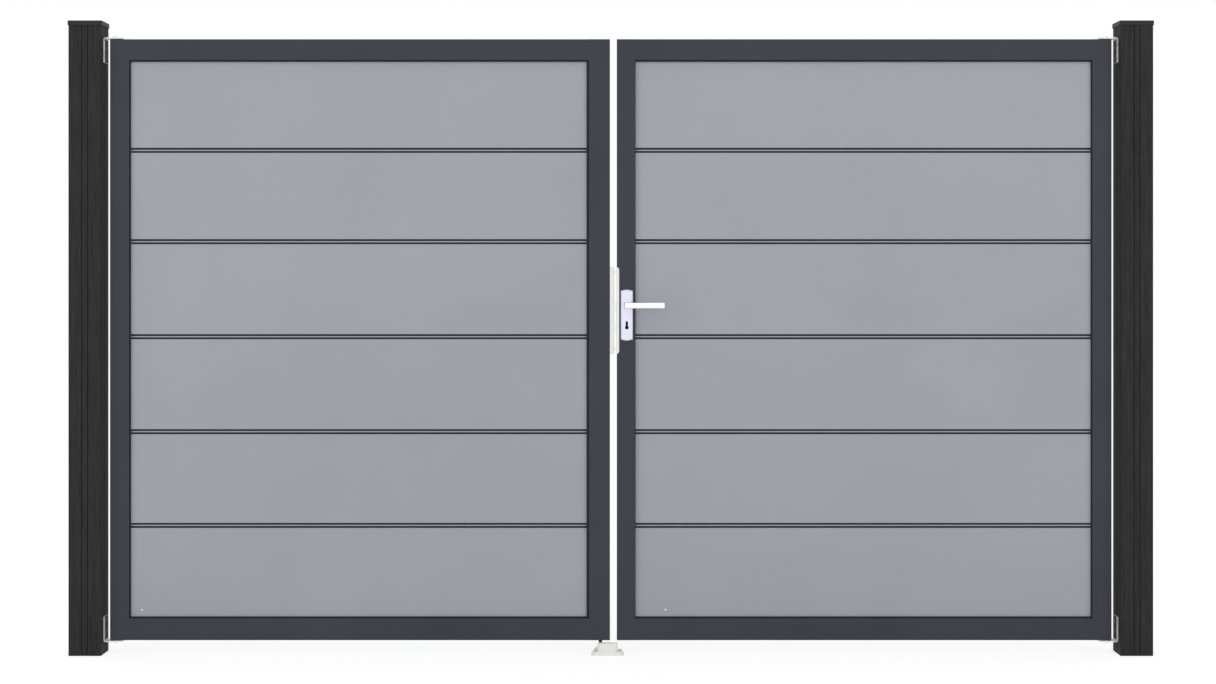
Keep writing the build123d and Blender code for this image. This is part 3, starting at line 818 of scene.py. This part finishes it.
class GATE_OT_stage(bpy.types.Operator):
    """Set up floor, light and camera"""

    bl_idname = "gate.stage"
    bl_label = "Stage"

    def execute(self, context):
        settings = context.scene.gate_stage
        context.scene.view_settings.view_transform = "Standard"
        low, high = (Vector(corner) for corner in CAD_BOX)
        middle = (low + high) / 2
        self.floor(middle)
        self.sky(settings.sky)
        lamps = (
            ("Key", 1, KEY_PLACE, KEY_SIZE, settings.key),
            ("Left fill", -1, FILL_PLACE, FILL_SIZE, settings.fill),
            ("Right fill", 1, FILL_PLACE, FILL_SIZE, settings.fill),
        )
        for name, hand, (across, depth, rise), size, power in lamps:
            place = Vector((middle.x + hand * across, depth, rise))
            self.lamp(name, place, middle, size, power)
        self.camera(context, Vector((middle.x, -settings.distance, settings.eye)), settings)
        return {"FINISHED"}

    def floor(self, middle):
        """Large white floor that shows the gate's shadow."""
        material = bpy.data.materials.new("White floor")
        material.use_nodes = True
        tree = material.node_tree
        tree.nodes.clear()
        bounce = add_node(tree, "ShaderNodeBsdfDiffuse", {"Color": shade(WHITE, FLOOR_BOUNCE)})
        shadow = add_node(tree, "ShaderNodeBsdfDiffuse", {"Color": shade(WHITE, FLOOR_SHADOW)})
        own = {"Color": shade(WHITE, 1), "Strength": FLOOR_GLOW}
        glow = add_node(tree, "ShaderNodeEmission", own)
        seen = add_node(tree, "ShaderNodeAddShader", {0: shadow.outputs[0], 1: glow.outputs[0]})
        choice = {0: self.looked_at(tree), 1: bounce.outputs[0], 2: seen.outputs[0]}
        mix = add_node(tree, "ShaderNodeMixShader", choice)
        add_node(tree, "ShaderNodeOutputMaterial", {"Surface": mix.outputs[0]})
        bm = bmesh.new()
        bmesh.ops.create_grid(bm, x_segments=1, y_segments=1, size=FLOOR_HALF)
        bmesh.ops.translate(bm, vec=(middle.x, 0, 0), verts=bm.verts)
        mesh = bpy.data.meshes.new("floor")
        bm.to_mesh(mesh)
        bm.free()
        mesh.materials.append(material)
        floor = bpy.data.objects.new("floor", mesh)
        bpy.context.scene.collection.objects.link(floor)

    def sky(self, strength):
        """Even white surroundings, plain white where the camera or a mirror looks past the gate."""
        world = bpy.data.worlds.new("Studio")
        bpy.context.scene.world = world
        world.use_nodes = True
        tree = world.node_tree
        tree.nodes.clear()
        level = {"Value": self.looked_at(tree), "To Min": strength, "To Max": 1.0}
        power = add_node(tree, "ShaderNodeMapRange", level).outputs["Result"]
        around = {"Color": shade(WHITE, 1), "Strength": power}
        light = add_node(tree, "ShaderNodeBackground", around)
        add_node(tree, "ShaderNodeOutputWorld", {"Surface": light.outputs[0]})

    def looked_at(self, tree):
        """1 where the camera, a mirror or a glass looks at a surface, and 0 for other light."""
        path = add_node(tree, "ShaderNodeLightPath")
        straight = {0: path.outputs["Is Camera Ray"], 1: path.outputs["Is Glossy Ray"]}
        either = add_node(tree, "ShaderNodeMath", straight, operation="MAXIMUM")
        through = {0: either.outputs[0], 1: path.outputs["Is Transmission Ray"]}
        return add_node(tree, "ShaderNodeMath", through, operation="MAXIMUM").outputs[0]

    def lamp(self, name, place, target, size, power):
        """Soft lamp of a given width and height that looks at the gate."""
        data = bpy.data.lights.new(name, "AREA")
        data.shape = "RECTANGLE"
        data.size, data.size_y = size
        data.energy = power
        lamp = bpy.data.objects.new(name, data)
        lamp.location = place
        lamp.visible_camera = False
        lamp.rotation_euler = (target - place).to_track_quat("-Z", "Y").to_euler()
        bpy.context.scene.collection.objects.link(lamp)

    def camera(self, context, place, settings):
        """Level camera straight in front of the gate."""
        data = bpy.data.cameras.new("Camera")
        data.lens = settings.lens
        data.sensor_width = SENSOR_WIDTH
        data.shift_x = settings.shift_x
        data.shift_y = settings.shift_y
        camera = bpy.data.objects.new("Camera", data)
        camera.location = place
        camera.rotation_euler = Vector((0, 1, 0)).to_track_quat("-Z", "Y").to_euler()
        context.scene.collection.objects.link(camera)
        context.scene.camera = camera


class GATE_PT_sidebar(bpy.types.Panel):
    """Settings and steps of the gate"""

    bl_idname = "GATE_PT_sidebar"
    bl_label = "Double Swing Gate"
    bl_space_type = "VIEW_3D"
    bl_region_type = "UI"
    bl_category = "Gate"

    def draw(self, context):
        layout = self.layout
        for step in STEPS:
            layout.operator(step.bl_idname)
        for group in GROUPS:
            settings = getattr(context.scene, group)
            box = layout.box()
            for name in settings.__annotations__:
                box.prop(settings, name)


GROUPS = {"gate_colours": GateColours, "gate_fittings": GateFittings, "gate_stage": GateStage}
STEPS = (
    GATE_OT_posts,
    GATE_OT_frames,
    GATE_OT_boards,
    GATE_OT_painted_shade_strips,
    GATE_OT_studs,
    GATE_OT_hinges,
    GATE_OT_lock,
    GATE_OT_bolt,
    GATE_OT_stage,
)
CLASSES = (*GROUPS.values(), *STEPS, GATE_PT_sidebar)


def register():
    """Add the settings, the steps and the panel."""
    for cls in CLASSES:
        bpy.utils.register_class(cls)
    for name, group in GROUPS.items():
        setattr(bpy.types.Scene, name, PointerProperty(type=group))


def unregister():
    """Take them away again."""
    for name in GROUPS:
        delattr(bpy.types.Scene, name)
    for cls in reversed(CLASSES):
        bpy.utils.unregister_class(cls)


def main():
    """Finish the gate step by step."""
    register()
    bpy.ops.gate.posts()
    bpy.ops.gate.frames()
    bpy.ops.gate.boards()
    bpy.ops.gate.seals()
    bpy.ops.gate.studs()
    bpy.ops.gate.hinges()
    bpy.ops.gate.lock()
    bpy.ops.gate.bolt()
    bpy.ops.gate.stage()


if __name__ == "__main__":
    main()
